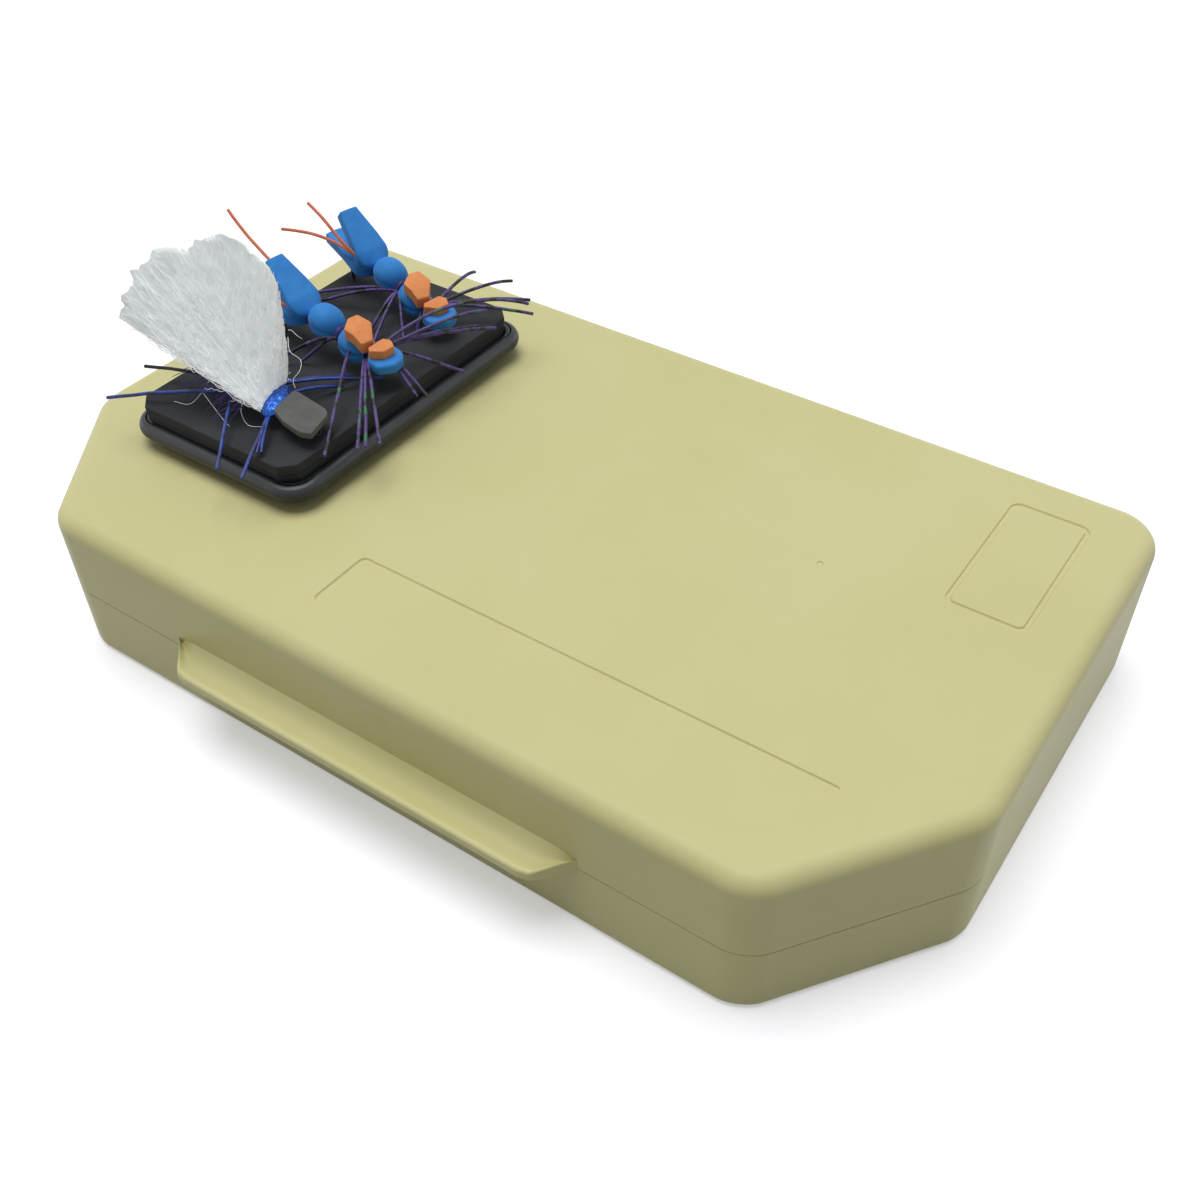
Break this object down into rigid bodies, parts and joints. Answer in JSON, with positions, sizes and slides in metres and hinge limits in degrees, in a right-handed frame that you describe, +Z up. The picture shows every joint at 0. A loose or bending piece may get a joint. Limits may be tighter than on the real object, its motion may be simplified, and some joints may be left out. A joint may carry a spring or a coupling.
{
  "type": "fly box",
  "caption": "Clamshell fly box with cut front corners, lift lip, foam liners, magnetic closure and a removable foam caddy that carries hooked dry flies.",
  "frame": {"origin": "centre of the case's footprint on its resting face", "axes": "+X to the right along the front wall, +Y from the front wall to the hinges, +Z up"},
  "size_m": [0.185, 0.1191, 0.0682],
  "materials": {
    "case_plastic": "satin",
    "pin_steel": "satin",
    "liner_foam": "matte",
    "magnet": "satin",
    "keeper_steel": "satin",
    "caddy_plastic": "satin",
    "caddy_foot_rubber": "matte",
    "caddy_foam": "matte",
    "hook_wire": "satin",
    "black_dubbing": "matte",
    "blue_tinsel": "satin",
    "grey_foam": "matte",
    "white_fibre": "satin",
    "blue_legs": "matte",
    "purple_thread": "satin",
    "blue_foam": "matte",
    "orange_foam": "matte",
    "purple_legs": "matte",
    "orange_strands": "matte"
  },
  "bodies": {
    "base": {"base_shell": "case_plastic", "hinge_pins": "pin_steel", "base_liner": "liner_foam", "base_magnets": "magnet"},
    "lid": {"lid_shell": "case_plastic", "lid_liner": "liner_foam", "lid_magnets": "magnet", "keeper_plate": "keeper_steel"},
    "caddy": {"caddy_tray": "caddy_plastic", "caddy_foot": "caddy_foot_rubber", "caddy_magnets": "magnet", "caddy_lower_foam": "caddy_foam", "caddy_upper_foam": "caddy_foam", "front_fly_hook": "hook_wire", "front_fly_underbody": "black_dubbing", "front_fly_collar": "blue_tinsel", "front_fly_head": "grey_foam", "front_fly_wing": "white_fibre", "front_fly_legs": "blue_legs", "middle_fly_hook": "hook_wire", "middle_fly_thread": "purple_thread", "middle_fly_upper_foam": "blue_foam", "middle_fly_lower_foam": "blue_foam", "middle_fly_marker": "orange_foam", "middle_fly_legs": "purple_legs", "middle_fly_tails": "orange_strands", "rear_fly_hook": "hook_wire", "rear_fly_thread": "purple_thread", "rear_fly_upper_foam": "blue_foam", "rear_fly_lower_foam": "blue_foam", "rear_fly_marker": "orange_foam", "rear_fly_legs": "purple_legs", "rear_fly_tails": "orange_strands"}
  },
  "joints": [
    {"name": "lid_hinge", "type": "hinge", "parent": "base", "child": "lid", "pos_m": [0, 0.0567, 0.014], "axis": [-1, 0, 0], "range_deg": [0, 160]},
    {"name": "caddy_lift", "type": "slide", "parent": "lid", "child": "caddy", "axis": [0, 0, 1], "range_m": [0, 0.06]}
  ]
}
